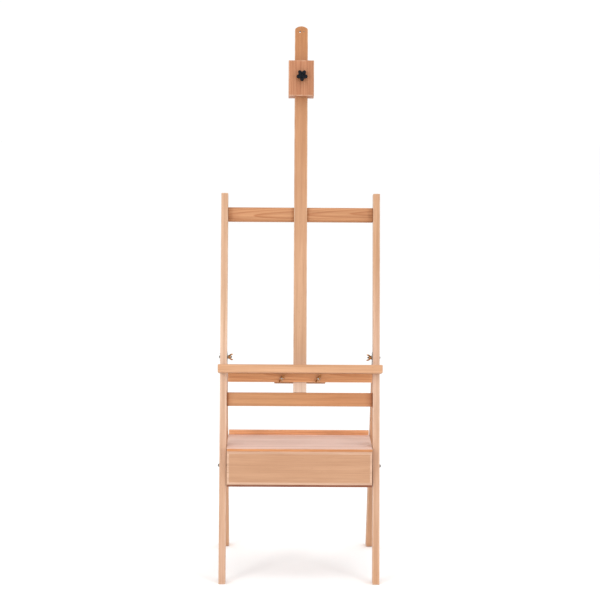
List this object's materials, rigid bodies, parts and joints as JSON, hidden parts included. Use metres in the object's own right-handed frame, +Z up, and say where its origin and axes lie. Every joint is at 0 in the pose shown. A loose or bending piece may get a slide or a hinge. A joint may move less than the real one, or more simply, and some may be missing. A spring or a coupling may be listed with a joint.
{
  "type": "artist easel",
  "caption": "Wooden artist easel: leaning H-frame with sliding canvas tray and mast-top holder, folding rear legs and a shallow box with a drawer.",
  "frame": {"origin": "centre of the footprint on the floor", "axes": "+Z up along the greatest height, +Y to the back of the easel, X along its width"},
  "size_m": [0.572, 0.5798, 1.9251],
  "materials": {
    "pale_pine": "pale planed pine under thin matt oil, straight grain",
    "orange_pine": "deeper orange pine with strong cathedral grain, satin oil",
    "pine": "planed pine, satin oil, straight grain",
    "steel": "dull zinc-plated steel, lightly worn",
    "brass": "coppery brass plating, satin",
    "black_knob": "near-black moulded plastic, fine matt texture"
  },
  "bodies": {
    "front_frame": {"upright_left": "pale_pine", "upright_right": "pale_pine", "top_crossbar": "orange_pine", "lower_crossbar": "orange_pine", "mast": "pine", "mast_screw_1": "steel", "mast_screw_2": "steel", "hinge_plate_left_inner": "steel", "hinge_plate_left_outer": "steel", "hinge_plate_right_inner": "steel", "hinge_plate_right_outer": "steel", "hinge_rivet_left_upper": "steel", "hinge_rivet_left_lower": "steel", "hinge_rivet_right_upper": "steel", "hinge_rivet_right_lower": "steel", "leg_bolt_left": "steel", "leg_bolt_right": "steel", "leg_washer_left": "steel", "leg_washer_right": "steel", "box_bolt_left": "steel", "box_bolt_right": "steel", "box_nut_left": "steel", "box_nut_right": "steel"},
    "leg_left": {"leg_left": "pine", "leg_stud_left": "steel"},
    "leg_right": {"leg_right": "pine", "leg_stud_right": "steel"},
    "box": {"box_lid": "pale_pine", "box_floor": "pine", "box_back": "orange_pine", "box_side_left": "pine", "box_side_right": "pine", "box_hook_left": "pine", "box_hook_right": "pine", "drawer_guide_left": "pine", "drawer_guide_right": "pine"},
    "drawer": {"drawer_front": "orange_pine", "drawer_side_left": "pine", "drawer_side_right": "pine", "drawer_back": "pine", "drawer_floor": "pale_pine"},
    "tray": {"tray_shelf": "pine", "tray_lip": "pine", "tray_board": "orange_pine", "tray_block": "orange_pine", "tray_bolt_left": "steel", "tray_bolt_right": "steel", "tray_washer_left": "steel", "tray_washer_right": "steel"},
    "holder": {"holder_block": "orange_pine", "holder_back_plate": "orange_pine", "holder_bush": "brass", "holder_pad": "brass"},
    "knob": {"knob": "black_knob", "knob_stud": "steel"},
    "leg_nut_left": {"leg_wing_nut_left": "brass"},
    "leg_nut_right": {"leg_wing_nut_right": "brass"},
    "tray_nut_left": {"tray_wing_nut_left": "brass"},
    "tray_nut_right": {"tray_wing_nut_right": "brass"}
  },
  "joints": [
    {"name": "box_fold", "type": "hinge", "parent": "front_frame", "child": "box", "pos_m": [0, -0.18277, 0.39842], "axis": [-1, 0, 0], "range_deg": [0, 102]},
    {"name": "leg_left_fold", "type": "hinge", "parent": "front_frame", "child": "leg_left", "pos_m": [-0.268, -0.05835, 0.76251], "axis": [-1, 0, 0], "range_deg": [0, 35.2]},
    {"name": "leg_right_fold", "type": "hinge", "parent": "front_frame", "child": "leg_right", "pos_m": [0.268, -0.05835, 0.76251], "axis": [-1, 0, 0], "range_deg": [0, 35.2]},
    {"name": "drawer_slide", "type": "slide", "parent": "box", "child": "drawer", "axis": [0, -1, 0], "range_m": [0, 0.15]},
    {"name": "tray_slide", "type": "slide", "parent": "front_frame", "child": "tray", "axis": [0, 0.2079, 0.9781], "range_m": [-0.03, 0.5]},
    {"name": "holder_slide", "type": "slide", "parent": "front_frame", "child": "holder", "axis": [0, 0.2079, 0.9781], "range_m": [-0.38, 0.1]},
    {"name": "knob_turn", "type": "hinge", "parent": "holder", "child": "knob", "pos_m": [0.0025, 0.06182, 1.75113], "axis": [0, -0.9781, 0.2079], "range_deg": [0, 720]},
    {"name": "leg_nut_left_turn", "type": "hinge", "parent": "front_frame", "child": "leg_nut_left", "pos_m": [-0.247, -0.05835, 0.76251], "axis": [1, 0, 0], "range_deg": [0, 720]},
    {"name": "tray_nut_left_turn", "type": "hinge", "parent": "tray", "child": "tray_nut_left", "pos_m": [-0.064, -0.14618, 0.70042], "axis": [0, -0.9781, 0.2079], "range_deg": [0, 720]},
    {"name": "leg_nut_right_turn", "type": "hinge", "parent": "front_frame", "child": "leg_nut_right", "pos_m": [0.247, -0.05835, 0.76251], "axis": [-1, 0, 0], "range_deg": [0, 720]},
    {"name": "tray_nut_right_turn", "type": "hinge", "parent": "tray", "child": "tray_nut_right", "pos_m": [0.064, -0.14618, 0.70042], "axis": [0, -0.9781, 0.2079], "range_deg": [0, 720]}
  ],
  "couplings": [
    {"joint": "leg_left_fold", "follows": "box_fold", "ratio": 0.34412},
    {"joint": "leg_right_fold", "follows": "box_fold", "ratio": 0.34412}
  ]
}
